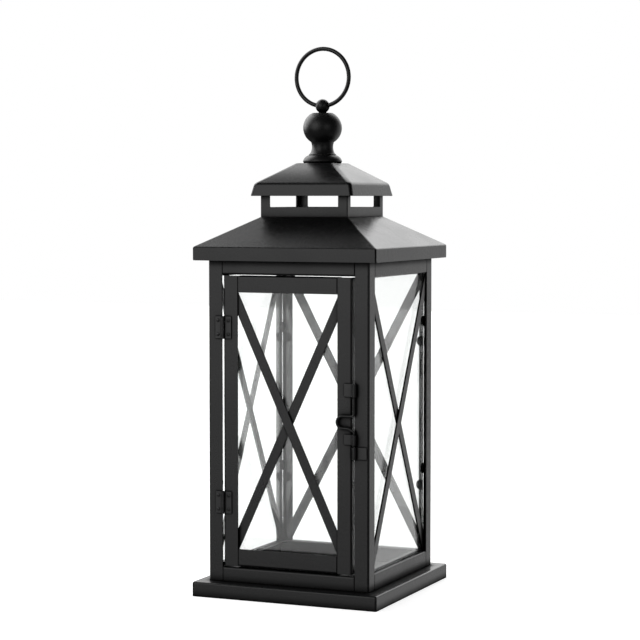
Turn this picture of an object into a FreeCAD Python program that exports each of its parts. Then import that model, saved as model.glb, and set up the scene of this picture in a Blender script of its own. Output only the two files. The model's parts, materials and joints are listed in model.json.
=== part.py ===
import FreeCAD, Part
import math
import os
import Sketcher

# Square metal and glass hanging lantern: tray base, angle-iron frame, crossed straps over glass on
# four sides, hinged door with a sliding wire latch, two-stage vented roof, turned finial and ring.
# Origin at the middle of the base's underside, door towards -Y, +Z up, millimetres.

doc = FreeCAD.newDocument("Lantern")

# ---------------------------------------------------------------- driving dimensions
dims = {
    "base_side": 166.0, "base_height": 12.4, "base_sheet": 1.2, "base_corner": 2.0, "base_edge": 1.6,
    "base_hem": 7.0,
    "body_half": 72.15, "angle_leg": 12.5, "angle_sheet": 1.2, "angle_bend": 1.7,
    "front_sill_top": 25.0, "side_sill_top": 26.4, "front_head_low": 269.0, "side_head_low": 267.9,
    "strap_width": 8.0, "strap_sheet": 1.5, "strap_tail": 2.0, "strap_edge": 0.35,
    "pane_sheet": 2.0, "pane_lap": 4.5, "pane_slack": 0.3,
    "tab_radius": 4.5, "tab_sheet": 0.8, "tab_inset": 0.6, "tab_leg": 2.0, "tab_foot": 3.5,
    "tab_left_low": 94.0, "tab_left_high": 217.5, "tab_right_low": 98.2, "tab_right_high": 225.8,
    "tab_rear_low": 83.0, "tab_rear_high": 208.5, "tab_door_low": 90.0, "tab_door_high": 214.0,
    "door_left": 58.3, "door_right": 57.1, "door_low": 26.2, "door_high": 268.25, "stile_width": 12.8,
    "door_sill": 14.4, "door_head": 13.9, "door_depth": 9.5, "door_lap": 6.5,
    "door_tab_radius": 2.6, "door_tab_inset": 1.0,
    "hinge_axis": 58.15, "hinge_low_mid": 79.2, "hinge_high_mid": 225.2, "hinge_height": 18.3,
    "hinge_leaf": 7.2, "hinge_sheet": 0.8, "leaf_clear": 0.3, "knuckle_radius": 1.3, "knuckle_gap": 0.15,
    "pin_radius": 0.7, "pin_play": 0.08, "pin_head": 1.05, "pin_head_rise": 0.4,
    "rivet_offset": 4.8, "rivet_rise_z": 5.8, "rivet_head": 1.6, "rivet_dome": 0.5,
    "rivet_shank": 0.8, "rivet_tail": 0.6, "rivet_tail_radius": 1.25,
    "latch_axis": 60.1, "wire_radius": 1.1, "clip_sheet": 0.7, "clip_play": 0.1, "keeper_play": 0.15,
    "clip_reach": 9.8, "keeper_reach": 10.4, "clip_lift": 0.3, "clip_root": 0.8,
    "clip_high_low": 171.6, "clip_high_top": 182.3, "clip_low_low": 132.5, "clip_low_top": 141.0,
    "keeper_low": 120.9, "keeper_top": 130.9,
    "wire_top": 181.6, "wire_tip": 131.3, "wire_bend": 1.8, "loop_high": 156.0, "loop_low": 146.1,
    "loop_reach": 16.3,
    "soffit_low": 281.2, "soffit_sheet": 1.2, "soffit_hole": 60.5,
    "eave_half": 82.0, "eave_low": 280.7, "fascia_top": 291.8, "roof_top": 316.5, "roof_sheet": 1.0,
    "collar_half": 39.5, "collar_sheet": 1.0, "collar_top": 345.8, "window_low": 324.6,
    "window_top": 337.0, "front_pier": 8.5, "side_pier": 6.6, "window_corner": 1.0,
    "cap_low": 334.2, "cap_low_half": 46.4, "cap_brim_top": 344.6, "cap_brim_half": 44.0,
    "cap_top": 361.5, "cap_top_half": 17.6, "cap_corner": 3.0, "cap_sheet": 1.0, "cap_shoulder": 1.0,
    "flange_radius": 16.5, "flange_round": 3.3, "foot_step": 11.6,
    "foot_step_top": 369.2, "neck_foot": 11.0, "neck_top": 379.5, "neck_top_radius": 9.8,
    "neck_cove": 10.2, "ball_round": 13.9, "ball_top": 403.9, "ball_top_radius": 8.4,
    "stud_radius": 2.5, "stud_low": 353.6, "stud_high": 406.4, "washer_radius": 6.5, "washer_sheet": 1.0,
    "nut_radius": 4.6, "nut_thick": 4.0,
    "eye_radius": 5.95, "eye_centre": 409.6, "eye_collar": 3.3, "eye_collar_top": 405.2,
    "eye_hole": 2.6, "ring_pivot": 409.8, "ring_radius": 24.0, "ring_wire": 1.775,
    "cut_past": 1.0,
}
sheet = doc.addObject("Spreadsheet::Sheet", "Dims")
for row, (alias, size) in enumerate(dims.items(), 1):
    sheet.set(f"A{row}", alias)
    sheet.set(f"B{row}", str(size))
    sheet.setAlias(f"B{row}", alias)
doc.recompute()

nodes = []  # the finished pieces, in the order they are made
touch = 0.01  # edges this near a level or a length count as on it


def d(words):
    """Put Dims. in front of every alias in a plain formula."""
    parts, word = [], ""
    for letter in words + " ":
        if letter.isalnum() or letter == "_":
            word += letter
            continue
        parts.append(f"Dims.{word}" if word in dims else word)
        parts.append(letter)
        word = ""
    return "".join(parts).strip()


def number(words):
    """The value of a formula now, in millimetres or degrees."""
    result = sheet.evalExpression(d(words))
    return float(getattr(result, "Value", result))


def bind(piece, **formulas):
    for name, words in formulas.items():
        piece.setExpression(name, d(words))
    return piece


def place(piece, x="0", y="0", z="0", rotation=None):
    if rotation is not None:
        piece.Placement = FreeCAD.Placement(FreeCAD.Vector(), rotation)
    for axis, words in zip("xyz", (x, y, z)):
        piece.setExpression(f"Placement.Base.{axis}", d(words))
    return piece


def turn(axis, degrees):
    return FreeCAD.Rotation(FreeCAD.Vector(*axis), degrees)


def keep(piece, label):
    piece.Label = label
    nodes.append(piece)
    return piece


def roundSide(side, x, y):
    """A plan position given for the front side, carried round to side 0 front, 1 right, 2 rear, 3 left."""
    return [(x, y), (f"-({y})", x), (f"-({x})", f"-({y})"), (y, f"-({x})")][side]


# ---------------------------------------------------------------- sketch and body helpers
def newBody(name):
    return doc.addObject("PartDesign::Body", name)


def newSketch(body, name, role="XY_Plane", lift="0"):
    sketch = body.newObject("Sketcher::SketchObject", f"{body.Name}_{name}")
    plane = next(item for item in body.Origin.OriginFeatures if item.Role == role)
    sketch.AttachmentSupport = [(plane, "")]
    sketch.MapMode = "FlatFace"
    sketch.setExpression("AttachmentOffset.Base.z", d(lift))
    return sketch


def arcMiddle(start, end, radius):
    """Middle point of the arc from start to end; a positive radius runs counter-clockwise."""
    chord = end - start
    left = FreeCAD.Vector(-chord.y, chord.x, 0).normalize()
    rise = math.sqrt(max(radius ** 2 - chord.Length ** 2 / 4, 0.0))
    way = 1 if radius > 0 else -1
    return (start + end) / 2 + left * (way * (rise - abs(radius)))


def trace(sketch, corners, closed=True):
    """Lines and arcs through corners (x, y) or (x, y, radius of the arc to the next corner)."""
    spots = [FreeCAD.Vector(number(corner[0]), number(corner[1]), 0) for corner in corners]
    count = len(corners) if closed else len(corners) - 1
    ends = []
    for index in range(count):
        start, end = spots[index], spots[(index + 1) % len(spots)]
        corner = corners[index]
        if len(corner) == 2:
            edge = sketch.addGeometry(Part.LineSegment(start, end))
            ends.append((edge, 1, 2))
            continue
        radius = number(corner[2])
        middle = arcMiddle(start, end, radius)
        forward = radius > 0
        run = Part.Arc(start, middle, end) if forward else Part.Arc(end, middle, start)
        edge = sketch.addGeometry(run)
        ends.append((edge, 1, 2) if forward else (edge, 2, 1))
        mark = sketch.addConstraint(Sketcher.Constraint("Radius", edge, abs(radius)))
        sketch.setExpression(f"Constraints[{mark}]", d(f"abs({corner[2]})"))
    for index in range(count if closed else count - 1):
        edge, _, last = ends[index]
        follower, first, _ = ends[(index + 1) % count]
        sketch.addConstraint(Sketcher.Constraint("Coincident", edge, last, follower, first))
    for index, corner in enumerate(corners):
        edge, point = ends[index][:2] if index < count else (ends[-1][0], ends[-1][2])
        for kind, words in zip(("DistanceX", "DistanceY"), corner):
            mark = sketch.addConstraint(Sketcher.Constraint(kind, -1, 1, edge, point, number(words)))
            sketch.setExpression(f"Constraints[{mark}]", d(words))
    return sketch


def circle(sketch, x, y, radius):
    centre = FreeCAD.Vector(number(x), number(y), 0)
    ring = sketch.addGeometry(Part.Circle(centre, FreeCAD.Vector(0, 0, 1), number(radius)))
    facts = [("Radius", (ring,), radius),
             ("DistanceX", (-1, 1, ring, 3), x),
             ("DistanceY", (-1, 1, ring, 3), y)]
    for kind, items, words in facts:
        mark = sketch.addConstraint(Sketcher.Constraint(kind, *items, number(words)))
        sketch.setExpression(f"Constraints[{mark}]", d(words))
    return sketch


def rectangle(halfX, halfY, corner=None):
    """Corners of a centred rectangle, with rounded corners when a radius is given."""
    signs = [("-", "-"), ("", "-"), ("", ""), ("-", "")]
    if corner is None:
        return [(f"{a}({halfX})", f"{b}({halfY})") for a, b in signs]
    loop = []
    for index, (a, b) in enumerate(signs):
        onSide = (f"{a}({halfX})", f"{b}({halfY} - ({corner}))")
        onFront = (f"{a}({halfX} - ({corner}))", f"{b}({halfY})")
        first, last = (onSide, onFront) if index % 2 == 0 else (onFront, onSide)
        loop += [(*first, corner), last]
    return loop


def feature(body, kind, name, sketch, reverse=False, **formulas):
    made = body.newObject(f"PartDesign::{kind}", f"{body.Name}_{name}")
    made.Profile = sketch
    if hasattr(made, "Reversed"):
        made.Reversed = reverse
    return bind(made, **formulas)


def loft(body, kind, name, lower, upper):
    made = body.newObject(f"PartDesign::{kind}", f"{body.Name}_{name}")
    made.Profile = lower
    made.Sections = [upper]
    made.Ruled = True
    return made


def fillet(body, name, radius, wanted):
    """Round the edges of the body so far whose bounding box the test accepts."""
    doc.recompute()
    base = body.Tip
    chosen = [f"Edge{index}" for index, edge in enumerate(base.Shape.Edges, 1) if wanted(edge.BoundBox)]
    made = body.newObject("PartDesign::Fillet", f"{body.Name}_{name}")
    made.Base = (base, chosen)
    return bind(made, Radius=radius)


def box(name, length, width, height, x="0", y="0", z="0"):
    made = bind(doc.addObject("Part::Box", name), Length=length, Width=width, Height=height)
    return place(made, x, y, z)


def cylinder(name, radius, height, x="0", y="0", z="0", rotation=None):
    made = bind(doc.addObject("Part::Cylinder", name), Radius=radius, Height=height)
    return place(made, x, y, z, rotation)


def fuse(name, pieces):
    made = doc.addObject("Part::MultiFuse", name)
    made.Shapes = pieces
    return made


def cut(name, base, tool):
    made = doc.addObject("Part::Cut", name)
    made.Base = base
    made.Tool = tool
    return made


def group(name, pieces):
    made = doc.addObject("Part::Compound", name)
    made.Links = pieces
    return made


sides = ["front", "right", "rear", "left"]
opening = "(body_half - angle_leg)"  # half the clear width between two posts


# ---------------------------------------------------------------- base
def makeBase():
    body = newBody("base_tray")
    plan = trace(newSketch(body, "plan"), rectangle("base_side / 2", "base_side / 2", "base_corner"))
    feature(body, "Pad", "block", plan, Length="base_height")
    top = number("base_height")
    fillet(body, "top_edge", "base_edge", lambda edge: edge.ZMin > top - touch)
    inside = "base_side / 2 - base_hem"
    mouth = trace(newSketch(body, "mouth"), rectangle(inside, inside, "base_corner"))
    feature(body, "Pocket", "hollow", mouth, reverse=True, Length="base_height - base_sheet")
    wall = "base_side / 2 - base_sheet"
    walls = rectangle(wall, wall, "base_corner - base_sheet")
    cavity = trace(newSketch(body, "cavity", lift="base_sheet"), walls)
    feature(body, "Pocket", "walls", cavity, reverse=True, Length="base_height - 2 * base_sheet")
    keep(body, "base_tray")


# ---------------------------------------------------------------- folded angles
def angleProfile(legX, legY):
    """An L with its outer corner at the origin and a rounded bend."""
    return [("angle_bend", "0"), (legX, "0"), (legX, "angle_sheet"),
            ("angle_bend", "angle_sheet", "-(angle_bend - angle_sheet)"), ("angle_sheet", "angle_bend"),
            ("angle_sheet", legY), ("0", legY), ("0", "angle_bend", "angle_bend")]


def uprightAngle(label, legX, legY, low, high, x, y, quarter, holes=None):
    body = newBody(label)
    feature(body, "Pad", "length", trace(newSketch(body, "section"), angleProfile(legX, legY)),
            Length=f"{high} - {low}")
    if holes:
        drill = newSketch(body, "rivet_holes", "XZ_Plane")
        for holeX, holeZ in holes:
            circle(drill, f"{holeX} - ({x})", f"{holeZ} - {low}", "rivet_shank")
        feature(body, "Pocket", "holes", drill, Length="2 * angle_sheet")
    place(body, x, y, low, turn((0, 0, 1), 90 * quarter))
    keep(body, label)


def levelAngle(label, face, shelf, length, side, x, y, z, cornerOnTop):
    """A rail with its outer bend along its top or its bottom edge and its shelf turned inwards."""
    body = newBody(label)
    legs = (face, shelf) if cornerOnTop else (shelf, face)
    section = trace(newSketch(body, "section", "YZ_Plane"), angleProfile(*legs))
    feature(body, "Pad", "length", section, Length=length)
    tip = turn((1, 0, 0), -90 if cornerOnTop else 0)
    place(body, *roundSide(side, x, y), z, turn((0, 0, 1), 90 * side) * tip)
    keep(body, label)


def rivetSpots(reach):
    """Rivet centres of both hinges for leaves that lie at reach from the pin axis along X."""
    middles = ["hinge_low_mid", "hinge_high_mid"]
    return [(f"-hinge_axis {reach}", f"{middle} {step} rivet_rise_z") for middle in middles for step in "-+"]


def makeFrame():
    names = ["post_front_left", "post_front_right", "post_rear_right", "post_rear_left"]
    for side, label in enumerate(names):
        x, y = roundSide(side, "-body_half", "-body_half")
        holes = rivetSpots("- rivet_offset") if side == 0 else None
        uprightAngle(label, "angle_leg", "angle_leg", "base_height", "soffit_low", x, y, side, holes)
    for side, word in enumerate(sides):
        sill, head = ("front_sill_top", "front_head_low") if side == 0 else ("side_sill_top", "side_head_low")
        start = f"-{opening}"
        levelAngle(f"{word}_bottom_rail", f"{sill} - base_height", "angle_leg", f"2 * {opening}",
                   side, start, "-body_half", sill, True)
        levelAngle(f"{word}_top_rail", f"soffit_low - {head}", "angle_leg", f"2 * {opening}",
                   side, start, "-body_half", head, False)


# ---------------------------------------------------------------- crossed straps, glass and its tabs
def makeStrap(label, halfWidth, halfHeight, side, middle, middleZ, layer, rising):
    """A flat bar across an opening, its outer edges meeting two opposite corners."""
    alongX = side % 2 == 0
    reach = f"sqrt(({halfWidth})^2 + ({halfHeight})^2)"
    lean = f"acos(strap_width / 2 / {reach}) - atan(({halfWidth}) / ({halfHeight}))"
    half = f"(({halfWidth} + strap_width / 2 * sin({lean})) / cos({lean}) + strap_tail)"
    body = newBody(label)
    plan = newSketch(body, "plan", "XZ_Plane" if alongX else "YZ_Plane")
    trace(plan, rectangle(half, "strap_width / 2"))
    feature(body, "Pad", "bar", plan, Length="strap_sheet")
    length = 2 * number(half)
    fillet(body, "long_edges", "strap_edge",
           lambda edge: max(edge.XLength, edge.YLength) > length - touch and edge.ZLength < touch)
    inner = f"body_half - angle_sheet - {layer + 1} * strap_sheet"
    outer = f"body_half - angle_sheet - {layer} * strap_sheet"
    depth = [f"-({inner})", inner, outer, f"-({outer})"][side]
    axis = (0, -1, 0) if alongX else (1, 0, 0)
    if not rising:
        axis = tuple(-value for value in axis)
    x, y = (middle, depth) if alongX else (depth, middle)
    place(body, x, y, middleZ, turn(axis, number(lean)))
    body.setExpression("Placement.Rotation.Angle", d(lean))
    keep(body, label)


def makePane(label, side, halfWidth, middle, low, high):
    near = "body_half - angle_sheet - 2 * strap_sheet"
    far = f"{near} - pane_sheet"
    start = [f"-({near})", far, far, f"-({near})"][side]
    width = f"2 * ({halfWidth})"
    edge = f"{middle} - ({halfWidth})"
    if side % 2 == 0:
        pane = box(label, width, "pane_sheet", f"{high} - ({low})", edge, start, low)
    else:
        pane = box(label, "pane_sheet", width, f"{high} - ({low})", start, edge, low)
    keep(pane, label)


def makeTabs(label, side, halfWidth, middle, heights, radius="tab_radius", inset="tab_inset"):
    """Round-ended clips, riveted to the frame's inside, that hold a pane's edges."""
    reach = "(pane_sheet + 2 * strap_sheet)"  # from a tab's disc to the frame
    legStart = f"{inset} + pane_slack"
    plane = f"body_half - angle_sheet - {reach}"
    tabs = []
    for height in heights:
        for end in (-1, 1):
            tag = f"{label}_{len(tabs)}"
            disc = cylinder(f"{tag}_disc", radius, "tab_sheet", rotation=turn((1, 0, 0), 90))
            leg = box(f"{tag}_leg", "tab_sheet", f"tab_sheet + {reach}", "2 * tab_leg",
                      legStart, "-tab_sheet", "-tab_leg")
            foot = box(f"{tag}_foot", "tab_foot", "tab_sheet", "2 * tab_leg",
                       legStart, f"{reach} - tab_sheet", "-tab_leg")
            tab = fuse(f"{tag}_tab", [disc, leg, foot])
            # as made the tab faces +Y with its leg on the +X side
            across = f"{middle} + {end} * ({halfWidth} - {inset})"
            out = [f"-({plane})", plane, plane, f"-({plane})"][side]
            x, y = (across, out) if side % 2 == 0 else (out, across)
            spin = [180, -90, 0, 90][side]
            towards = [-1, -1, 1, 1][side]  # the way +X points after the spin, along the pane
            flip = turn((0, 1, 0), 0 if end == towards else 180)
            place(tab, x, y, height, turn((0, 0, 1), spin) * flip)
            tabs.append(tab)
    keep(group(label, tabs), label)


def makeGlazing():
    halfHeight = "(side_head_low - side_sill_top) / 2"
    middleZ = "(side_head_low + side_sill_top) / 2"
    for side in (1, 2, 3):
        word = sides[side]
        makeStrap(f"{word}_strap_outer", opening, halfHeight, side, "0", middleZ, 0, side != 2)
        makeStrap(f"{word}_strap_inner", opening, halfHeight, side, "0", middleZ, 1, side == 2)
        half = f"{opening} + pane_lap"
        makePane(f"{word}_pane", side, half, "0", "side_sill_top", "side_head_low - pane_slack")
        makeTabs(f"{word}_pane_tabs", side, half, "0", [f"tab_{word}_low", f"tab_{word}_high"])


# ---------------------------------------------------------------- door
doorMiddle = "(door_right - door_left) / 2"
doorHalf = "((door_right + door_left) / 2 - stile_width)"


def makeDoor():
    uprightAngle("door_left_stile", "stile_width", "door_depth", "door_low", "door_high",
                 "-door_left", "-body_half", 0, rivetSpots("+ rivet_offset"))
    uprightAngle("door_right_stile", "door_depth", "stile_width", "door_low", "door_high",
                 "door_right", "-body_half", 1)
    start = "-door_left + stile_width"
    levelAngle("door_top_rail", "door_head", "door_depth", f"2 * {doorHalf}", 0, start, "-body_half",
               "door_high", True)
    levelAngle("door_bottom_rail", "door_sill", "door_depth", f"2 * {doorHalf}", 0, start, "-body_half",
               "door_low", False)
    low, high = "(door_low + door_sill)", "(door_high - door_head)"
    halfHeight = f"({high} - {low}) / 2"
    middleZ = f"({high} + {low}) / 2"
    makeStrap("door_strap_outer", doorHalf, halfHeight, 0, doorMiddle, middleZ, 0, False)
    makeStrap("door_strap_inner", doorHalf, halfHeight, 0, doorMiddle, middleZ, 1, True)
    half = f"{doorHalf} + door_lap"
    makePane("door_pane", 0, half, doorMiddle, f"{low} - pane_lap", f"{high} + pane_lap")
    makeTabs("door_pane_tabs", 0, half, doorMiddle, ["tab_door_low", "tab_door_high"],
             "door_tab_radius", "door_tab_inset")


# ---------------------------------------------------------------- hinges
hinges = {"upper": "hinge_high_mid", "lower": "hinge_low_mid"}
knuckles = 5
pinY = "-(body_half + knuckle_radius)"


def makeLeaf(label, middleZ, owned, bore, onPost):
    """A hinge leaf about its pin axis, its plate reaching to +X, turned over for the post's side."""
    pitch = f"hinge_height / {knuckles}"
    clear = "knuckle_radius + leaf_clear"
    back = "knuckle_radius - hinge_sheet"
    pieces = [box(f"{label}_plate", f"hinge_leaf - ({clear})", "hinge_sheet", "hinge_height",
                  clear, back, "-hinge_height / 2")]
    for index in owned:
        low = f"-hinge_height / 2 + {index} * {pitch} + knuckle_gap / 2"
        tall = f"{pitch} - knuckle_gap"
        pieces.append(box(f"{label}_wrap_{index}", clear, "hinge_sheet", tall, "0", back, low))
        pieces.append(cylinder(f"{label}_knuckle_{index}", "knuckle_radius", tall, z=low))
    tools = [cylinder(f"{label}_bore", bore, "hinge_height + 2 * cut_past", z="-hinge_height / 2 - cut_past")]
    for step in "-+":
        hole = cylinder(f"{label}_hole_{len(tools)}", "rivet_shank", "hinge_sheet + 2 * cut_past",
                        "rivet_offset", "knuckle_radius + cut_past", f"{step}rivet_rise_z",
                        turn((1, 0, 0), 90))
        tools.append(hole)
    leaf = cut(label, fuse(f"{label}_solid", pieces), fuse(f"{label}_tools", tools))
    place(leaf, "-hinge_axis", pinY, middleZ, turn((0, 1, 0), 180 if onPost else 0))
    keep(leaf, label)


def makePin(label, middleZ):
    shank = cylinder(f"{label}_shank", "pin_radius", "hinge_height", z="-hinge_height / 2")
    heads = [cylinder(f"{label}_top", "pin_head", "pin_head_rise", z="hinge_height / 2"),
             cylinder(f"{label}_bottom", "pin_head", "pin_head_rise", z="-hinge_height / 2 - pin_head_rise")]
    pin = place(fuse(label, [shank, *heads]), "-hinge_axis", pinY, middleZ)
    keep(pin, label)


def makeRivets(label, reach):
    """Dome-headed rivets through the leaves and the sheet behind them."""
    dome = "((rivet_head^2 + rivet_dome^2) / (2 * rivet_dome))"
    rivets = []
    for x, z in rivetSpots(reach):
        tag = f"{label}_{len(rivets)}"
        head = doc.addObject("Part::Sphere", f"{tag}_head")
        bind(head, Radius=dome, Angle1=f"asin(1 - rivet_dome / {dome})")
        place(head, z=f"hinge_sheet + rivet_dome - {dome}")
        shank = cylinder(f"{tag}_shank", "rivet_shank", "hinge_sheet + angle_sheet", z="-angle_sheet")
        tail = cylinder(f"{tag}_tail", "rivet_tail_radius", "rivet_tail", z="-angle_sheet - rivet_tail")
        rivet = fuse(f"{tag}_rivet", [head, shank, tail])
        rivets.append(place(rivet, x, "-body_half", z, turn((1, 0, 0), 90)))
    keep(group(label, rivets), label)


def makeHinges():
    ownedByPost = range(0, knuckles, 2)
    ownedByDoor = range(1, knuckles, 2)
    for word, middleZ in hinges.items():
        makeLeaf(f"{word}_hinge_post_leaf", middleZ, ownedByPost, "pin_radius", True)
        makeLeaf(f"{word}_hinge_door_leaf", middleZ, ownedByDoor, "pin_radius + pin_play", False)
        makePin(f"{word}_hinge_pin", middleZ)
    makeRivets("hinge_post_rivets", "- rivet_offset")
    makeRivets("hinge_door_rivets", "+ rivet_offset")


# ---------------------------------------------------------------- latch
barrel = "(wire_radius + clip_play + clip_sheet)"
standOff = f"({barrel} + clip_lift)"  # from the frame's face to the wire's axis


def makeClip(label, low, high, play, reach, onPost):
    """A strip rolled into a barrel round the latch wire, its tail flat on the frame."""
    tall = f"{high} - {low}"
    tail = box(f"{label}_tail", f"{reach} - clip_root", "clip_sheet", tall,
               "clip_root" if onPost else f"-{reach}", f"{standOff} - clip_sheet")
    roll = cylinder(f"{label}_roll", barrel, tall)
    bore = cylinder(f"{label}_bore", f"wire_radius + {play}", f"{tall} + 2 * cut_past", z="-cut_past")
    clip = cut(label, fuse(f"{label}_solid", [tail, roll]), bore)
    keep(place(clip, "latch_axis", f"-(body_half + {standOff})", low), label)


def makeLatchWire():
    """A bolt of round wire with a sideways finger loop bent into its middle."""
    body = newBody("latch_wire")
    loop = "(loop_high - loop_low) / 2"
    turnX = f"-(loop_reach - wire_radius - {loop})"
    middleZ = "(loop_high + loop_low) / 2"
    line = newSketch(body, "centre_line", "XZ_Plane")
    trace(line, [("0", "wire_top"), ("0", "loop_high + wire_bend", "-wire_bend"), ("-wire_bend", "loop_high"),
                 (turnX, "loop_high", loop), (f"{turnX} - {loop}", middleZ, loop), (turnX, "loop_low"),
                 ("-wire_bend", "loop_low", "-wire_bend"), ("0", "loop_low - wire_bend"), ("0", "wire_tip")],
          closed=False)
    section = circle(newSketch(body, "section", lift="wire_top"), "0", "0", "wire_radius")
    pipe = body.newObject("PartDesign::AdditivePipe", "latch_wire_pipe")
    pipe.Profile = section
    pipe.Spine = line
    place(body, "latch_axis", f"-(body_half + {standOff})")
    keep(body, "latch_wire")


def makeLatch():
    makeClip("latch_upper_clip", "clip_high_low", "clip_high_top", "clip_play", "clip_reach", False)
    makeClip("latch_lower_clip", "clip_low_low", "clip_low_top", "clip_play", "clip_reach", False)
    makeClip("latch_keeper", "keeper_low", "keeper_top", "keeper_play", "keeper_reach", True)
    makeLatchWire()


# ---------------------------------------------------------------- roof
def makeSoffit():
    body = newBody("soffit_plate")
    plan = newSketch(body, "plan")
    outer = "eave_half - roof_sheet"
    trace(plan, rectangle(outer, outer))
    trace(plan, rectangle("soffit_hole", "soffit_hole"))
    feature(body, "Pad", "plate", plan, Length="soffit_sheet")
    keep(place(body, z="soffit_low"), "soffit_plate")


def makeMainRoof():
    body = newBody("main_roof")
    slope = "((roof_top - fascia_top) / (eave_half - collar_half))"
    drop = f"(roof_sheet * sqrt(1 + {slope}^2))"
    fascia = trace(newSketch(body, "eave", lift="eave_low"), rectangle("eave_half", "eave_half"))
    feature(body, "Pad", "fascia", fascia, Length="fascia_top - eave_low")
    foot = trace(newSketch(body, "slope_foot", lift="fascia_top"), rectangle("eave_half", "eave_half"))
    head = trace(newSketch(body, "slope_head", lift="roof_top"), rectangle("collar_half", "collar_half"))
    loft(body, "AdditiveLoft", "slope", foot, head)
    inner = "eave_half - roof_sheet"
    spring = f"fascia_top + {slope} * roof_sheet - {drop}"
    well = trace(newSketch(body, "well", lift="eave_low"), rectangle(inner, inner))
    feature(body, "Pocket", "skirt", well, reverse=True, Length=f"{spring} - eave_low")
    under = trace(newSketch(body, "under_foot", lift=spring), rectangle(inner, inner))
    throat = f"collar_half - {drop} / {slope}"
    over = trace(newSketch(body, "under_head", lift="roof_top"), rectangle(throat, throat))
    loft(body, "SubtractiveLoft", "underside", under, over)
    keep(body, "main_roof")


def makeCollar():
    body = newBody("vent_collar")
    plan = newSketch(body, "plan")
    trace(plan, rectangle("collar_half", "collar_half"))
    inside = "collar_half - collar_sheet"
    trace(plan, rectangle(inside, inside))
    feature(body, "Pad", "wall", plan, Length="collar_top - roof_top")
    middle = "(window_low + window_top) / 2 - roof_top"
    tall = "(window_top - window_low) / 2"
    for role, pier in (("XZ_Plane", "front_pier"), ("YZ_Plane", "side_pier")):
        around = rectangle(f"collar_half - {pier}", tall, "window_corner")
        loop = [(x, f"{middle} + {y}", *bend) for x, y, *bend in around]
        window = trace(newSketch(body, f"window_{pier}", role, "-collar_half - cut_past"), loop)
        feature(body, "Pocket", f"windows_{pier}", window, reverse=True,
                Length="2 * (collar_half + cut_past)")
    keep(place(body, z="roof_top"), "vent_collar")


def makeCapRoof():
    body = newBody("cap_roof")
    levels = [("cap_low", "cap_low_half"), ("cap_brim_top", "cap_brim_half"), ("cap_top", "cap_top_half")]
    slope = "((cap_top - cap_brim_top) / (cap_brim_half - cap_top_half))"
    drop = f"(cap_sheet * sqrt(1 + {slope}^2))"

    def ring(name, level, half, corner):
        return trace(newSketch(body, name, lift=level), rectangle(half, half, corner))

    within = "cap_corner - cap_sheet"
    skins = {"outer": [(level, half, "cap_corner") for level, half in levels],
             "inner": [("cap_low", "cap_low_half - cap_sheet", within),
                       (f"cap_brim_top - {drop} + {slope} * cap_sheet", "cap_brim_half - cap_sheet", within),
                       ("cap_top - cap_sheet", f"cap_top_half - ({drop} - cap_sheet) / {slope}", within)]}
    for word, kind in (("outer", "AdditiveLoft"), ("inner", "SubtractiveLoft")):
        low, brim, top = skins[word]
        loft(body, kind, f"{word}_brim", ring(f"{word}_foot", *low), ring(f"{word}_brim_top", *brim))
        loft(body, kind, f"{word}_slope", ring(f"{word}_slope_foot", *brim), ring(f"{word}_top", *top))
        if word == "outer":
            brimZ = number("cap_brim_top")
            fillet(body, "shoulder", "cap_shoulder",
                   lambda edge: max(abs(edge.ZMin - brimZ), abs(edge.ZMax - brimZ)) < touch)
    hole = circle(newSketch(body, "stud_hole", lift="cap_top"), "0", "0", "stud_radius")
    feature(body, "Pocket", "hole", hole, Length="2 * cap_sheet")
    keep(body, "cap_roof")


# ---------------------------------------------------------------- finial, eye and ring
def makeFinial():
    body = newBody("finial")
    half = newSketch(body, "profile", "XZ_Plane")
    rim, top = "flange_radius - flange_round", "cap_top + 2 * flange_round"
    trace(half, [("stud_radius", "cap_top"), (rim, "cap_top", "flange_round"),
                 ("flange_radius", "cap_top + flange_round", "flange_round"), (rim, top),
                 ("foot_step", top), ("foot_step", "foot_step_top"),
                 ("neck_foot", "foot_step_top", "-neck_cove"), ("neck_top_radius", "neck_top", "ball_round"),
                 ("ball_top_radius", "ball_top"), ("stud_radius", "ball_top")])
    turned = feature(body, "Revolution", "turned", half)
    turned.ReferenceAxis = (half, ["V_Axis"])
    turned.Angle = 360
    keep(body, "finial")


def makeEye():
    bead = bind(doc.addObject("Part::Sphere", "eye_bead"), Radius="eye_radius",
                Angle1="asin((ball_top - eye_centre) / eye_radius)")
    place(bead, z="eye_centre")
    collar = cylinder("eye_collar", "eye_collar", "eye_collar_top - ball_top", z="ball_top")
    past = "(eye_radius + cut_past)"
    cross = cylinder("eye_cross_hole", "eye_hole", f"2 * {past}", f"-{past}", "0", "ring_pivot",
                     turn((0, 1, 0), 90))
    thread = cylinder("eye_thread_hole", "stud_radius", "stud_high - ball_top", z="ball_top")
    keep(cut("ring_eye", fuse("eye_solid", [bead, collar]), fuse("eye_tools", [cross, thread])), "ring_eye")


def makeHardware():
    keep(cylinder("finial_stud", "stud_radius", "stud_high - stud_low", z="stud_low"), "finial_stud")
    seat = "cap_top - cap_sheet - washer_sheet"
    disc = cylinder("washer_disc", "washer_radius", "washer_sheet")
    washer = cut("finial_washer", disc, cylinder("washer_hole", "stud_radius", "washer_sheet"))
    keep(place(washer, z=seat), "finial_washer")
    hexagon = doc.addObject("Part::Prism", "nut_hexagon")
    hexagon.Polygon = 6
    bind(hexagon, Circumradius="nut_radius", Height="nut_thick")
    nut = cut("finial_nut", hexagon, cylinder("nut_hole", "stud_radius", "nut_thick"))
    keep(place(nut, z=f"{seat} - nut_thick"), "finial_nut")


def makeRing():
    ring = bind(doc.addObject("Part::Torus", "hanging_ring"), Radius1="ring_radius", Radius2="ring_wire")
    keep(place(ring, z="ring_pivot + ring_radius", rotation=turn((1, 0, 0), 90)), "hanging_ring")


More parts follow.
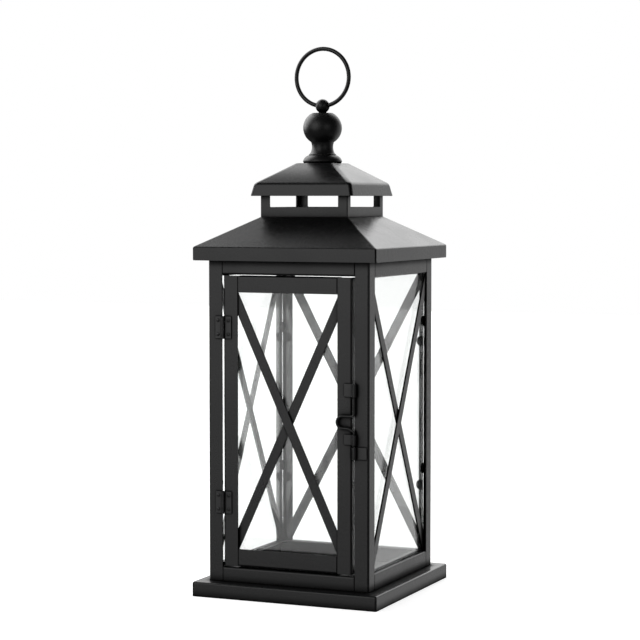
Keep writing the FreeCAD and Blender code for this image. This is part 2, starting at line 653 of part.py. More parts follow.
makeBase()
makeFrame()
makeGlazing()
makeDoor()
makeHinges()
makeLatch()
makeSoffit()
makeMainRoof()
makeCollar()
makeCapRoof()
makeFinial()
makeEye()
makeHardware()
makeRing()
doc.recompute()

# ---------------------------------------------------------------- checks and export
failed = [item.Name for item in doc.Objects if {"Invalid", "Error"} & set(item.State)]
if failed:
    raise RuntimeError(f"failed features: {failed}")
os.makedirs("parts", exist_ok=True)
for piece in nodes:
    shape = piece.Shape
    if shape.isNull() or not shape.isValid() or not shape.Solids:
        raise RuntimeError(f"bad shape: {piece.Label}")
for piece in nodes:
    piece.Shape.exportStep(f"parts/{piece.Label}.step")
print(f"{len(nodes)} pieces written")
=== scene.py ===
import json
import math

import bmesh
import bpy
from mathutils import Matrix, Vector


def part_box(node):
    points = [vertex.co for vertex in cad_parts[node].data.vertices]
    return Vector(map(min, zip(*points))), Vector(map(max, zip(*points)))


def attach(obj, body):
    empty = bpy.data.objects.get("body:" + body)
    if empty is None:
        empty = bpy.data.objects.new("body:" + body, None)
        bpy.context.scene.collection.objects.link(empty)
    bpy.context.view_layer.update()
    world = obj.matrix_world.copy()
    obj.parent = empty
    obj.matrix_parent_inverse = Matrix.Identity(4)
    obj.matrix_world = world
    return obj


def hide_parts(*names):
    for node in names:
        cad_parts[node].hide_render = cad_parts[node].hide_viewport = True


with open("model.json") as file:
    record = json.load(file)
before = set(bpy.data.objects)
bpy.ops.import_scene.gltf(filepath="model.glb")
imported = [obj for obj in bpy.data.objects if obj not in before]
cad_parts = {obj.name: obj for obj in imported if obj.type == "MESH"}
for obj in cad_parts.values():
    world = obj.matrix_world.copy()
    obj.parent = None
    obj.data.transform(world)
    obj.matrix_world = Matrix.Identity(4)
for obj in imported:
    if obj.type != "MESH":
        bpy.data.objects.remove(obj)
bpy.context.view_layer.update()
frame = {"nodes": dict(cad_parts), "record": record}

scene = bpy.context.scene
mm = 0.001
bodies = frame["record"]["behaviour"]["bodies"]
nodeBody = {node: body for body, members in bodies.items() for node in members}
nodeSlot = {part["node"]: part["material_slot"] for part in frame["record"]["subparts"]}

# camera, in metres and degrees

view = {
    "lens": 115.94,
    "sensor": 36.0,
    "azimuth": 23.53,  # to the right of the door
    "pitch": 3.44,  # looking down
    "distance": 1.752,
    "target": (-0.00198, -0.00086, 0.2287),
    "near": 0.05,
    "far": 50,
}


def makeCamera():
    azimuth, pitch = math.radians(view["azimuth"]), math.radians(view["pitch"])
    level = math.cos(pitch)
    forward = Vector((-math.sin(azimuth) * level, math.cos(azimuth) * level, -math.sin(pitch)))
    data = bpy.data.cameras.new("lanternCamera")
    data.lens, data.sensor_width = view["lens"], view["sensor"]
    data.clip_start, data.clip_end = view["near"], view["far"]
    camera = bpy.data.objects.new("lanternCamera", data)
    camera.location = Vector(view["target"]) - forward * view["distance"]
    camera.rotation_euler = forward.to_track_quat("-Z", "Y").to_euler()
    scene.collection.objects.link(camera)
    scene.camera = camera
    print("camera ready")


# node helpers shared by the studio and the finishes

def addNode(tree, kind, **settings):
    node = tree.nodes.new(kind)
    for name, value in settings.items():
        setattr(node, name, value)
    return node


def addMath(tree, operation, *values):
    node = addNode(tree, "ShaderNodeMath", operation=operation)
    for socket, value in zip(node.inputs, values):
        if isinstance(value, bpy.types.NodeSocket):
            tree.links.new(value, socket)
        else:
            socket.default_value = value
    return node.outputs[0]


def addRange(tree, value, fromLow, fromHigh, toLow, toHigh, smooth=False):
    node = addNode(tree, "ShaderNodeMapRange", interpolation_type="SMOOTHSTEP" if smooth else "LINEAR")
    ends = {"From Min": fromLow, "From Max": fromHigh, "To Min": toLow, "To Max": toHigh}
    for name, number in ends.items():
        node.inputs[name].default_value = number
    tree.links.new(value, node.inputs["Value"])
    return node.outputs["Result"]


# studio: soft patches of light in a dim room; what is looked at, straight or through glass, is plain white

studio = {
    "floorSize": 8.0,
    "floorColour": (0.92, 0.92, 0.92),
    "floorRoughness": 0.9,
    "floorGlow": 0.78,
    "wallSeen": 1.0,
    "wallThroughGlass": 1.4,
    "indoors": 0.55,  # light that comes in through the panes, against light that doesn't
    "dimmest": 0.05,
    "patches": [  # direction, full to this many degrees, gone by, strength
        ((-0.12, 0.86, 0.50), 13, 35, 1.95),
        ((0.42, 0.90, -0.13), 18, 42, 0.68),
        ((-0.36, -0.90, 0.25), 13, 33, 1.25),
        ((0.75, -0.65, 0.12), 6, 20, 0.7),
        ((-0.86, 0.22, 0.46), 23, 36.5, 3.3),
        ((0, 0, -1), 40, 85, 0.10),
    ],
}


def makeStudio():
    mesh = bmesh.new()
    bmesh.ops.create_grid(mesh, x_segments=1, y_segments=1, size=studio["floorSize"] / 2)
    data = bpy.data.meshes.new("studioFloor")
    mesh.to_mesh(data)
    mesh.free()
    floor = bpy.data.objects.new("studioFloor", data)
    scene.collection.objects.link(floor)
    paint = bpy.data.materials.new("paleFloor")
    paint.use_nodes = True
    shader = paint.node_tree.nodes["Principled BSDF"]
    shader.inputs["Base Color"].default_value = (*studio["floorColour"], 1)
    shader.inputs["Roughness"].default_value = studio["floorRoughness"]
    shader.inputs["Emission Color"].default_value = (1, 1, 1, 1)
    shader.inputs["Emission Strength"].default_value = studio["floorGlow"]
    data.materials.append(paint)
    floor.visible_glossy = floor.visible_diffuse = False  # the last patch lights from below in its place

    world = bpy.data.worlds.new("softRoom")
    world.use_nodes = True
    tree = world.node_tree
    direction = addNode(tree, "ShaderNodeTexCoord").outputs["Generated"]
    glow = None
    for towards, full, gone, strength in studio["patches"]:
        facing = addNode(tree, "ShaderNodeVectorMath", operation="DOT_PRODUCT")
        tree.links.new(direction, facing.inputs[0])
        facing.inputs[1].default_value = Vector(towards).normalized()
        low, high = math.cos(math.radians(gone)), math.cos(math.radians(full))
        patch = addRange(tree, facing.outputs["Value"], low, high, 0, strength, smooth=True)
        glow = patch if glow is None else addMath(tree, "ADD", glow, patch)
    glow = addMath(tree, "ADD", glow, studio["dimmest"])
    path = addNode(tree, "ShaderNodeLightPath")
    dimming = addRange(tree, path.outputs["Is Transmission Ray"], 0, 1, 1, studio["indoors"])
    glow = addMath(tree, "MULTIPLY", glow, dimming)
    bounces = addMath(tree, "ADD", path.outputs["Glossy Depth"], path.outputs["Diffuse Depth"])
    direct = addMath(tree, "LESS_THAN", bounces, 0.5)
    through = addMath(tree, "MULTIPLY", path.outputs["Is Transmission Ray"], direct)
    seen = addMath(tree, "MAXIMUM", path.outputs["Is Camera Ray"], through)
    wall = addRange(tree, through, 0, 1, studio["wallSeen"], studio["wallThroughGlass"])
    strength = addNode(tree, "ShaderNodeMix", data_type="FLOAT")
    for value, socket in ((seen, "Factor"), (glow, "A"), (wall, "B")):
        tree.links.new(value, strength.inputs[socket])
    background = tree.nodes["Background"]
    background.inputs["Color"].default_value = (1, 1, 1, 1)
    tree.links.new(strength.outputs["Result"], background.inputs["Strength"])
    scene.world = world
    scene.view_settings.view_transform = "Standard"
    print("studio ready")


# finishes

coat = {
    "powder_coat": {"colour": (0.0062, 0.0062, 0.0065), "roughness": 0.27, "sheen": 0.5,
                    "peel": 0.10, "peelSize": 1.3 * mm, "grain": 0.10, "grainSize": 0.22 * mm},
    "cast_black": {"colour": (0.0052, 0.0052, 0.0054), "roughness": 0.38, "sheen": 0.5,
                   "peel": 0.14, "peelSize": 1.8 * mm, "grain": 0.14, "grainSize": 0.3 * mm},
    "black_wire": {"colour": (0.0056, 0.0056, 0.0058), "roughness": 0.28, "sheen": 0.55,
                   "peel": 0.06, "peelSize": 1.0 * mm, "grain": 0.06, "grainSize": 0.2 * mm},
    "black_hardware": {"colour": (0.0100, 0.0100, 0.0103), "roughness": 0.30, "sheen": 0.62,
                       "peel": 0.10, "peelSize": 0.9 * mm, "grain": 0.12, "grainSize": 0.18 * mm},
    "bare_tabs": {"colour": (0.0080, 0.0080, 0.0082), "roughness": 0.40, "sheen": 0.5,
                  "peel": 0.08, "peelSize": 0.8 * mm, "grain": 0.14, "grainSize": 0.15 * mm},
}
spray = {"cloudSize": 28 * mm, "darkest": 0.82, "lightest": 1.25, "smoother": 0.04, "rougher": 0.05,
         "relief": 0.25}
paintedShade = {  # painted shade in gaps and hollows: reach, and how closed and how open the surroundings are where the shade ends
    "hollow": (9 * mm, 0.40, 0.92),
    "seam": (1.6 * mm, 0.50, 0.93),
    "colour": (0.0010, 0.0010, 0.0010),
    "duller": 0.6,
    "sheen": 0.06,
    "samples": 8,
}
zinc = {"colour": (0.46, 0.47, 0.49), "darkest": 0.8, "spangle": 2.2 * mm, "grainSize": 0.5 * mm,
        "smoothest": 0.28, "roughest": 0.44}
glassSheet = {"colour": (0.985, 0.995, 0.99), "clear": 0.96, "index": 1.5, "roughness": 0.015, "wave": 0.004,
              "waveSize": 60 * mm}
finishes = {}


def objectNoise(tree, size, detail=2.0):
    noise = addNode(tree, "ShaderNodeTexNoise")
    noise.inputs["Scale"].default_value = 1 / size
    noise.inputs["Detail"].default_value = detail
    tree.links.new(addNode(tree, "ShaderNodeTexCoord").outputs["Object"], noise.inputs["Vector"])
    return noise.outputs["Fac"]


def newFinish(name):
    material = bpy.data.materials.new(name)
    material.use_nodes = True
    finishes[name] = material
    return material.node_tree, material.node_tree.nodes["Principled BSDF"]


def addBump(tree, shader, height, strength, distance):
    bump = addNode(tree, "ShaderNodeBump")
    bump.inputs["Strength"].default_value = strength
    bump.inputs["Distance"].default_value = distance
    tree.links.new(height, bump.inputs["Height"])
    tree.links.new(bump.outputs["Normal"], shader.inputs["Normal"])


def scaled(colour, factor):
    return (*[factor * part for part in colour], 1)


# 1 where the surface is open and 0 deep in a gap, where shade is painted into the coat: its colour darkened
# and its reflection dimmed, and the coat there also made rougher
def addOpenness(tree, reach, closedAt, openAt):
    gaps = addNode(tree, "ShaderNodeAmbientOcclusion", samples=paintedShade["samples"])
    gaps.inputs["Distance"].default_value = reach
    return addRange(tree, gaps.outputs["AO"], closedAt, openAt, 0, 1)


def makeCoats():
    for name, look in coat.items():
        tree, shader = newFinish(name)
        peel = objectNoise(tree, look["peelSize"], 1.0)
        grain = objectNoise(tree, look["grainSize"], 2.0)
        cloud = objectNoise(tree, spray["cloudSize"], 3.0)  # slow unevenness of the sprayed coat
        tint = addNode(tree, "ShaderNodeMix", data_type="RGBA")
        tint.inputs["A"].default_value = scaled(look["colour"], spray["darkest"])
        tint.inputs["B"].default_value = scaled(look["colour"], spray["lightest"])
        tree.links.new(cloud, tint.inputs["Factor"])
        # painted shade: in gaps and hollows the coat colour darkens towards the shade colour and its
        # reflection dims
        openness = addMath(tree, "MULTIPLY", addOpenness(tree, *paintedShade["hollow"]),
                           addOpenness(tree, *paintedShade["seam"]))
        shade = addNode(tree, "ShaderNodeMix", data_type="RGBA")
        shade.inputs["A"].default_value = (*paintedShade["colour"], 1)
        tree.links.new(openness, shade.inputs["Factor"])
        tree.links.new(tint.outputs["Result"], shade.inputs["B"])
        tree.links.new(shade.outputs["Result"], shader.inputs["Base Color"])
        rough = addRange(tree, addMath(tree, "ADD", cloud, grain), 0.6, 1.4,
                         look["roughness"] - spray["smoother"], look["roughness"] + spray["rougher"])
        dull = addMath(tree, "MULTIPLY", addMath(tree, "SUBTRACT", 1.0, openness), paintedShade["duller"])
        tree.links.new(addMath(tree, "ADD", rough, dull), shader.inputs["Roughness"])
        sheen = addRange(tree, openness, 0, 1, paintedShade["sheen"], look["sheen"])
        tree.links.new(sheen, shader.inputs["Specular IOR Level"])
        grainRelief = look["grain"] * look["grainSize"] / look["peelSize"]
        relief = addMath(tree, "ADD", addMath(tree, "MULTIPLY", peel, look["peel"]),
                         addMath(tree, "MULTIPLY", grain, grainRelief))
        addBump(tree, shader, relief, 1.0, look["peelSize"] * spray["relief"])
    print("coats mixed")


def makeZinc():
    tree, shader = newFinish("zinc_hardware")
    shader.inputs["Metallic"].default_value = 1.0
    cells = addNode(tree, "ShaderNodeTexVoronoi")
    cells.inputs["Scale"].default_value = 1 / zinc["spangle"]
    tree.links.new(addNode(tree, "ShaderNodeTexCoord").outputs["Object"], cells.inputs["Vector"])
    tint = addNode(tree, "ShaderNodeMix", data_type="RGBA")
    tint.inputs["A"].default_value = scaled(zinc["colour"], zinc["darkest"])
    tint.inputs["B"].default_value = scaled(zinc["colour"], 1)
    tree.links.new(cells.outputs["Color"], tint.inputs["Factor"])
    tree.links.new(tint.outputs["Result"], shader.inputs["Base Color"])
    grain = objectNoise(tree, zinc["grainSize"])
    rough = addRange(tree, grain, 0.3, 0.7, zinc["smoothest"], zinc["roughest"])
    tree.links.new(rough, shader.inputs["Roughness"])
    print("zinc mixed")


def makeGlass():
    tree, shader = newFinish("clear_glass")
    shader.inputs["Base Color"].default_value = (*glassSheet["colour"], 1)
    shader.inputs["Transmission Weight"].default_value = glassSheet["clear"]
    shader.inputs["IOR"].default_value = glassSheet["index"]
    shader.inputs["Roughness"].default_value = glassSheet["roughness"]
    addBump(tree, shader, objectNoise(tree, glassSheet["waveSize"], 0.0), glassSheet["wave"], 1 * mm)
    print("glass mixed")


# mesh helpers

tiny = 0.001 * mm  # points closer than this are one
near = 0.01 * mm  # points closer than this are level
softEdge = {"sharperThan": math.radians(35), "segments": 2, "flatWeight": 60}


def boxMatrix(low, high):
    return Matrix.Translation((low + high) / 2) @ Matrix.Diagonal((*(high - low), 1))


def camelName(node):
    first, *rest = node.split("_")
    return first + "".join(word.capitalize() for word in rest)


def addModifier(piece, name, kind, **settings):
    modifier = piece.modifiers.new(name, kind)
    for key, value in settings.items():
        setattr(modifier, key, value)
    return modifier


def finishPiece(mesh, name, body, slot, replaced, wall=None, edge=None):
    data = bpy.data.meshes.new(name)
    mesh.to_mesh(data)
    mesh.free()
    piece = bpy.data.objects.new(name, data)
    scene.collection.objects.link(piece)
    data.materials.append(finishes[slot])
    data.shade_smooth()
    if wall:
        addModifier(piece, "wall", "SOLIDIFY", thickness=wall, offset=-1, use_even_offset=True)
    if edge:
        addModifier(piece, "softEdges", "BEVEL", width=edge, segments=softEdge["segments"],
                    limit_method="ANGLE", angle_limit=softEdge["sharperThan"], profile=0.5, material=-1,
                    use_clamp_overlap=True)
    addModifier(piece, "faceNormals", "WEIGHTED_NORMAL", weight=softEdge["flatWeight"], keep_sharp=True)
    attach(piece, body)
    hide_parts(*replaced)
    return piece


def bevelEdges(mesh, edges, radius, segments):
    return bmesh.ops.bevel(mesh, geom=edges, offset=radius, offset_type="OFFSET", segments=segments,
                           profile=0.5, affect="EDGES", material=-1, clamp_overlap=True)


def bevelCorners(mesh, verts, radius, segments):
    return bmesh.ops.bevel(mesh, geom=verts, offset=radius, offset_type="OFFSET", segments=segments,
                           profile=0.5, affect="VERTICES", material=-1, clamp_overlap=True)


# square rings of the given half widths, one above the other, open at both ends
def stackRings(levels):
    mesh = bmesh.new()
    half, height = levels[0]
    seat = Matrix.Translation((0, 0, height)) @ Matrix.Rotation(math.pi / 4, 4, "Z")
    bmesh.ops.create_circle(mesh, cap_ends=False, segments=4, radius=half * math.sqrt(2), matrix=seat)
    edges = mesh.edges[:]
    for half, height in levels[1:]:
        grown = bmesh.ops.extrude_edge_only(mesh, edges=edges)["geom"]
        verts = [item for item in grown if isinstance(item, bmesh.types.BMVert)]
        edges = [item for item in grown if isinstance(item, bmesh.types.BMEdge)
                 and all(vert in verts for vert in item.verts)]
        for vert in verts:
            vert.co = (math.copysign(half, vert.co.x), math.copysign(half, vert.co.y), height)
    bmesh.ops.recalc_face_normals(mesh, faces=mesh.faces)
    return mesh


def cornerEdges(mesh):
    return [edge for edge in mesh.edges if abs(edge.verts[0].co.z - edge.verts[1].co.z) > 0.1 * mm]


def levelEdges(mesh, height):
    return [edge for edge in mesh.edges if all(abs(vert.co.z - height) < near for vert in edge.verts)]


# opens the four corners of a skirt below a level, as where folded flaps meet
def openCorners(mesh, top, gap):
    for diagonal in (Vector((1, 1, 0)).normalized(), Vector((1, -1, 0)).normalized()):
        for side in (-1, 1):
            skirt = [face for face in mesh.faces if face.calc_center_median().z < top]
            edges = {edge for face in skirt for edge in face.edges}
            verts = {vert for face in skirt for vert in face.verts}
            bmesh.ops.bisect_plane(mesh, geom=[*skirt, *edges, *verts], dist=tiny,
                                   plane_co=diagonal * side * gap / 2, plane_no=diagonal)
        middles = [(face, face.calc_center_median()) for face in mesh.faces]
        strip = [face for face, middle in middles if middle.z < top and abs(middle.dot(diagonal)) < gap / 2]
        bmesh.ops.delete(mesh, geom=strip, context="FACES")


# the points between two ends of an arc, which bulges to the right of the way there if the radius is positive
def arcPoints(start, end, radius, steps):
    start, end = Vector(start), Vector(end)
    chord = end - start
    left = Vector((-chord.y, chord.x)).normalized()
    way = 1 if radius > 0 else -1
    rise = math.sqrt(max(radius ** 2 - chord.length ** 2 / 4, 0))
    centre = (start + end) / 2 + left * way * rise
    first = math.atan2(*(start - centre).yx)
    sweep = 2 * math.asin(min(chord.length / 2 / abs(radius), 1)) * way
    angles = [first + sweep * step / steps for step in range(1, steps)]
    return [centre + abs(radius) * Vector((math.cos(angle), math.sin(angle))) for angle in angles]


# base tray: a pressed sheet with a rolled top edge and a hem turned in underneath

base = {"sheet": 1.2 * mm, "corner": 1.6 * mm, "topEdge": 1.5 * mm, "hem": 7.0 * mm, "edge": 0.3 * mm}


def makeBase():
    low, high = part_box("base_tray")
    mesh = bmesh.new()
    bmesh.ops.create_cube(mesh, size=1, matrix=boxMatrix(low, high))
    under = [face for face in mesh.faces if face.normal.z < -0.9]
    bmesh.ops.inset_region(mesh, faces=under, thickness=base["hem"])
    bmesh.ops.delete(mesh, geom=under, context="FACES_KEEP_BOUNDARY")
    bevelEdges(mesh, cornerEdges(mesh), base["corner"], 6)
    bevelEdges(mesh, levelEdges(mesh, high.z), base["topEdge"], 5)
    finishPiece(mesh, "baseTray", "root", "powder_coat", ["base_tray"], wall=base["sheet"], edge=base["edge"])
    print("base made")


# main roof: four slopes folded down into a fascia, its corners left open

roof = {"sheet": 1.0 * mm, "fascia": 11.1 * mm, "fold": 0.9 * mm, "gap": 1.6 * mm, "flapCorner": 1.2 * mm,
        "edge": 0.22 * mm}


def makeMainRoof():
    low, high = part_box("main_roof")
    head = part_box("vent_collar")[1].x
    fold = low.z + roof["fascia"]
    mesh = stackRings([(high.x, low.z), (high.x, fold), (head, high.z)])
    folds = set(levelEdges(mesh, fold)) | set(cornerEdges(mesh))
    bevelEdges(mesh, list(folds), roof["fold"], 3)
    openCorners(mesh, fold - roof["fold"] / 2, roof["gap"])
    tips = [vert for vert in mesh.verts if abs(vert.co.z - low.z) < near and len(vert.link_edges) == 2]
    bevelCorners(mesh, tips, roof["flapCorner"], 4)
    finishPiece(mesh, "mainRoof", "root", "powder_coat", ["main_roof"], wall=roof["sheet"], edge=roof["edge"])
    print("main roof made")


# vent collar: a square tube with one wide window in each wall

collar = {"sheet": 1.0 * mm, "corner": 0.9 * mm, "windowLow": 8.1 * mm, "windowTop": 20.5 * mm,
          "frontPier": 8.5 * mm, "sidePier": 6.6 * mm, "windowCorner": 1.0 * mm, "edge": 0.2 * mm}


def makeCollar():
    low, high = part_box("vent_collar")
    mesh = stackRings([(high.x, low.z), (high.x, high.z)])
    bevelEdges(mesh, cornerEdges(mesh), collar["corner"], 4)
    sill, lintel = low.z + collar["windowLow"], low.z + collar["windowTop"]
    wide, deep = high.x - collar["frontPier"], high.y - collar["sidePier"]
    cuts = [((0, 0, 1), sill), ((0, 0, 1), lintel), ((1, 0, 0), wide), ((1, 0, 0), -wide),
            ((0, 1, 0), deep), ((0, 1, 0), -deep)]
    for normal, reach in cuts:
        bmesh.ops.bisect_plane(mesh, geom=mesh.verts[:] + mesh.edges[:] + mesh.faces[:], dist=tiny,
                               plane_co=Vector(normal) * reach, plane_no=normal)

    def inWindow(centre):
        across, limit = (centre.x, wide) if abs(centre.y) > abs(centre.x) else (centre.y, deep)
        return sill < centre.z < lintel and abs(across) < limit

    def atWindowCorner(vert):
        rims = [(edge.other_vert(vert).co - vert.co).normalized()
                for edge in vert.link_edges if edge.is_boundary]
        return len(rims) == 2 and abs(rims[0].dot(rims[1])) < 0.5

    panes = [face for face in mesh.faces if inWindow(face.calc_center_median())]
    bmesh.ops.delete(mesh, geom=panes, context="FACES")
    bevelCorners(mesh, [vert for vert in mesh.verts if atWindowCorner(vert)], collar["windowCorner"], 4)
    finishPiece(mesh, "ventCollar", "root", "powder_coat", ["vent_collar"], wall=collar["sheet"],
                edge=collar["edge"])
    print("vent collar made")


# cap roof: a tapered brim with round corners, a soft shoulder and four slopes

cap = {"sheet": 1.0 * mm, "brim": 10.4 * mm, "brimHalf": 44.0 * mm, "topHalf": 17.6 * mm,
       "hip": 3.0 * mm, "shoulder": 1.7 * mm, "gap": 0.9 * mm, "gapTop": 0.51 * mm, "edge": 0.2 * mm}


def makeCapRoof():
    low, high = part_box("cap_roof")
    brimTop = low.z + cap["brim"]
    mesh = stackRings([(high.x, low.z), (cap["brimHalf"], brimTop), (cap["topHalf"], high.z)])
    bmesh.ops.edgeloop_fill(mesh, edges=levelEdges(mesh, high.z))
    bevelEdges(mesh, levelEdges(mesh, brimTop), cap["shoulder"], 4)
    diagonals = [edge for edge in cornerEdges(mesh)
                 if all(abs(abs(vert.co.x) - abs(vert.co.y)) < near for vert in edge.verts)]
    bevelEdges(mesh, diagonals, cap["hip"], 4)
    openCorners(mesh, brimTop - cap["gapTop"], cap["gap"])
    finishPiece(mesh, "capRoof", "root", "powder_coat", ["cap_roof"], wall=cap["sheet"], edge=cap["edge"])
    print("cap roof made")


# finial: a turned casting, flange, step, waisted neck and ball

finial = {  # in mm
    "bore": 2.5, "flange": 16.5, "lip": 1.6, "lipRise": 1.7, "lipRound": 1.76,
    "shoulder": 12.3, "shoulderRise": 6.6, "shoulderRound": 6.5, "step": 11.6, "stepRise": 1.1,
    "neckFoot": 11.0, "neckRise": 18.0, "cove": 10.2, "neckTop": 9.8, "ball": 13.9, "flat": 8.4,
    "edge": 0.35, "turns": 96,
}


def makeFinial():
    low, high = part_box("finial")
    tall = (high.z - low.z) / mm
    foot, lip = (finial["flange"] - finial["lip"], 0), (finial["flange"], finial["lipRise"])
    shoulder, inset = (finial["shoulder"], finial["shoulderRise"]), (finial["step"], finial["shoulderRise"])
    step = finial["shoulderRise"] + finial["stepRise"]
    neckFoot, neckTop = (finial["neckFoot"], step), (finial["neckTop"], finial["neckRise"])
    top = (finial["flat"], tall)
    profile = [(finial["bore"], 0), foot, *arcPoints(foot, lip, finial["lipRound"], 6),
               lip, *arcPoints(lip, shoulder, finial["shoulderRound"], 12),
               shoulder, inset, (finial["step"], step),
               neckFoot, *arcPoints(neckFoot, neckTop, -finial["cove"], 14),
               neckTop, *arcPoints(neckTop, top, finial["ball"], 28),
               top, (finial["bore"], tall)]
    mesh = bmesh.new()
    verts = [mesh.verts.new((x * mm, 0, low.z + z * mm)) for x, z in profile]
    edges = [mesh.edges.new(pair) for pair in zip(verts, verts[1:] + verts[:1])]
    bmesh.ops.spin(mesh, geom=verts + edges, cent=(0, 0, 0), axis=(0, 0, 1), angle=2 * math.pi,
                   steps=finial["turns"], use_merge=True)
    bmesh.ops.remove_doubles(mesh, verts=mesh.verts, dist=tiny)
    bmesh.ops.recalc_face_normals(mesh, faces=mesh.faces)
    finishPiece(mesh, "finial", "root", "cast_black", ["finial"], edge=finial["edge"] * mm)
    print("finial made")


# hanging ring: round wire closed inside the bead

ring = {"wire": 1.775 * mm, "around": 24, "turns": 144}


def makeRing():
    low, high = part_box("hanging_ring")
    centre = (low + high) / 2
    radius = (high.z - low.z) / 2 - ring["wire"]
    mesh = bmesh.new()
    seat = Matrix.Translation(centre + Vector((radius, 0, 0)))
    bmesh.ops.create_circle(mesh, cap_ends=False, segments=ring["around"], radius=ring["wire"], matrix=seat)
    bmesh.ops.spin(mesh, geom=mesh.verts[:] + mesh.edges[:], cent=centre, axis=(0, 1, 0), angle=2 * math.pi,
                   steps=ring["turns"], use_merge=True)
    bmesh.ops.remove_doubles(mesh, verts=mesh.verts, dist=tiny)
    bmesh.ops.recalc_face_normals(mesh, faces=mesh.faces)
    finishPiece(mesh, "hangingRing", "ring", "black_wire", ["hanging_ring"])
    print("ring made")


# latch: a bolt of bent wire in two rolled clips, and the rolled keeper on the post

latch = {  # in mm and degrees
    "wire": 1.1, "wireAround": 20, "wireEdge": 0.3, "play": 0.12,
    "loopHigh": 156.0, "loopLow": 146.3, "reach": 16.3, "bend": 2.2,
    "swan": (-4.6, 145.8, 4.0), "lowerBend": (0, 143.4, 1.2),  # across, up, radius
    "strip": 0.7, "stripEdge": 0.33, "stripCorner": 0.8, "tailEnd": 2.0,
    "rollFrom": 20, "rollSweep": 312, "rollSteps": 26,
}


# a path past the given corners, each rounded by its radius
def roundPath(corners, steps=8):
    path = []
    for index, (x, z, radius) in enumerate(corners):
        spot = Vector((x, z))
        if radius == 0:
            path.append(spot)
            continue
        before = (Vector(corners[index - 1][:2]) - spot).normalized()
        after = (Vector(corners[index + 1][:2]) - spot).normalized()
        half = before.angle(after) / 2
        reach = radius / math.tan(half)
        start, end = spot + before * reach, spot + after * reach
        way = 1 if before.x * after.y - before.y * after.x < 0 else -1
        path += [start, *arcPoints(start, end, way * radius, steps), end]
    return path


def makeLatchWire():
    low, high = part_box("latch_wire")
    axisX = high.x - latch["wire"] * mm
    axisY = (low.y + high.y) / 2
    left = -(latch["reach"] - latch["wire"])
    nose = (latch["loopHigh"] - latch["loopLow"]) / 2 - 0.01  # a hair under half: the bends don't meet
    corners = [(0, high.z / mm, 0), (0, latch["loopHigh"], latch["bend"]), (left, latch["loopHigh"], nose),
               (left, latch["loopLow"], nose), latch["swan"], latch["lowerBend"], (0, low.z / mm, 0)]
    path = roundPath(corners)
    data = bpy.data.curves.new("latchRoute", "CURVE")
    data.dimensions = "3D"
    spline = data.splines.new("POLY")
    spline.points.add(len(path) - 1)
    for point, (x, z) in zip(spline.points, path):
        point.co = (axisX + x * mm, axisY, z * mm, 1)
    data.bevel_depth = latch["wire"] * mm
    data.bevel_resolution = latch["wireAround"] // 4
    data.use_fill_caps = True
    route = bpy.data.objects.new("latchRoute", data)
    scene.collection.objects.link(route)
    mesh = bmesh.new()
    solid = bpy.data.meshes.new_from_object(route.evaluated_get(bpy.context.evaluated_depsgraph_get()))
    mesh.from_mesh(solid)
    bpy.data.objects.remove(route)
    bpy.data.meshes.remove(solid)
    bmesh.ops.remove_doubles(mesh, verts=mesh.verts, dist=tiny)
    bmesh.ops.recalc_face_normals(mesh, faces=mesh.faces)
    finishPiece(mesh, "latchWire", "latch", "black_wire", ["latch_wire"], edge=latch["wireEdge"] * mm)


def makeClip(node, way):
    low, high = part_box(node)
    wireLow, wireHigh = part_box("latch_wire")
    axisX, axisY = wireHigh.x - latch["wire"] * mm, (wireLow.y + wireHigh.y) / 2
    mid = (latch["wire"] + latch["play"] + latch["strip"] / 2) * mm
    tip = low.x if way < 0 else high.x
    flat = high.y - latch["strip"] / 2 * mm
    # the tail lies flat on the frame, and the strip then rolls round the wire
    outline = [(tip, flat), (axisX + way * latch["tailEnd"] * mm, flat)]
    for step in range(latch["rollSteps"] + 1):
        turned = latch["rollSweep"] * step / latch["rollSteps"] - latch["rollFrom"]
        angle = math.radians(90 + way * turned)
        outline.append((axisX + mid * math.cos(angle), axisY + mid * math.sin(angle)))
    mesh = bmesh.new()
    verts = [mesh.verts.new((x, y, low.z)) for x, y in outline]
    edges = [mesh.edges.new(pair) for pair in zip(verts, verts[1:])]
    grown = bmesh.ops.extrude_edge_only(mesh, edges=edges)["geom"]
    lifted = [item for item in grown if isinstance(item, bmesh.types.BMVert)]
    bmesh.ops.translate(mesh, verts=lifted, vec=(0, 0, high.z - low.z))
    tips = [vert for vert in mesh.verts if abs(vert.co.x - tip) < near]
    bevelCorners(mesh, tips, latch["stripCorner"] * mm, 3)
    bmesh.ops.recalc_face_normals(mesh, faces=mesh.faces)
    piece = finishPiece(mesh, camelName(node), nodeBody[node], nodeSlot[node], [node],
                        wall=latch["strip"] * mm, edge=latch["stripEdge"] * mm)
    piece.modifiers["wall"].offset = 0


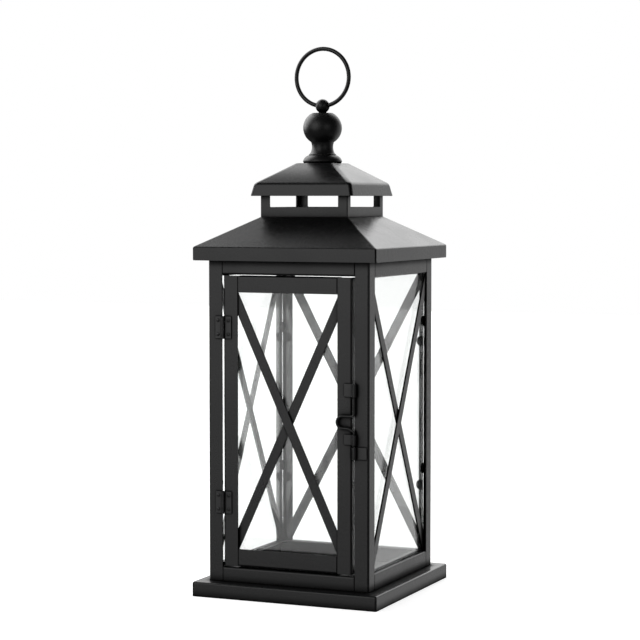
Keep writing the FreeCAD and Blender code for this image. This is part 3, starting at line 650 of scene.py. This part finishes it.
def makeLatch():
    makeLatchWire()
    makeClip("latch_upper_clip", -1)
    makeClip("latch_lower_clip", -1)
    makeClip("latch_keeper", 1)
    print("latch made")


# the other pieces take the CAD shape, merged, its edges broken

seam = {"gap": 0.6 * mm, "sheet": 1.2 * mm}
sharperThan, flatWithin = math.radians(32), math.radians(0.4)
brokenEdges = {"_rail": 0.22, "post_": 0.22, "_stile": 0.22, "_strap_": 0.3, "_pane": 0.25, "_tabs": 0.12,
               "soffit": 0.2, "_leaf": 0.1, "_pin": 0.15, "_rivets": 0.05, "eye": 0.15, "stud": 0.2,
               "washer": 0.1, "nut": 0.2}


# a rail's outer face stops short of the uprights, which leaves a fine open seam
def openSeams(mesh, low, high):
    along = 0 if high.x - low.x > high.y - low.y else 1
    facing = 1 - along
    outside = max(abs(low[facing]), abs(high[facing]))
    middle = (low[along] + high[along]) / 2
    for vert in mesh.verts:
        depth = min((outside - abs(vert.co[facing])) / seam["sheet"], 1)
        inward = seam["gap"] * (1 - depth)
        vert.co[along] += inward if vert.co[along] < middle else -inward


def refineNode(node, width):
    mesh = bmesh.new()
    mesh.from_mesh(frame["nodes"][node].data)
    bmesh.ops.remove_doubles(mesh, verts=mesh.verts, dist=2 * tiny)
    bmesh.ops.dissolve_limit(mesh, angle_limit=flatWithin, verts=mesh.verts, edges=mesh.edges)
    if node.endswith("_rail"):
        openSeams(mesh, *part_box(node))
    sharp = [edge for edge in mesh.edges
             if len(edge.link_faces) == 2 and edge.calc_face_angle(0) > sharperThan]
    bevelEdges(mesh, sharp, width * mm, 2)
    for layer in list(mesh.loops.layers.uv):
        mesh.loops.layers.uv.remove(layer)
    finishPiece(mesh, camelName(node), nodeBody[node], nodeSlot[node], [node])


def refineNodes():
    shown = [node for node, obj in frame["nodes"].items() if not obj.hide_render]
    for node in sorted(shown):
        width = next(size for word, size in brokenEdges.items() if word in node)
        refineNode(node, width)
    print(f"{len(shown)} nodes refined")


makeCamera()
makeStudio()
makeCoats()
makeZinc()
makeGlass()
makeBase()
makeMainRoof()
makeCollar()
makeCapRoof()
makeFinial()
makeRing()
makeLatch()
refineNodes()
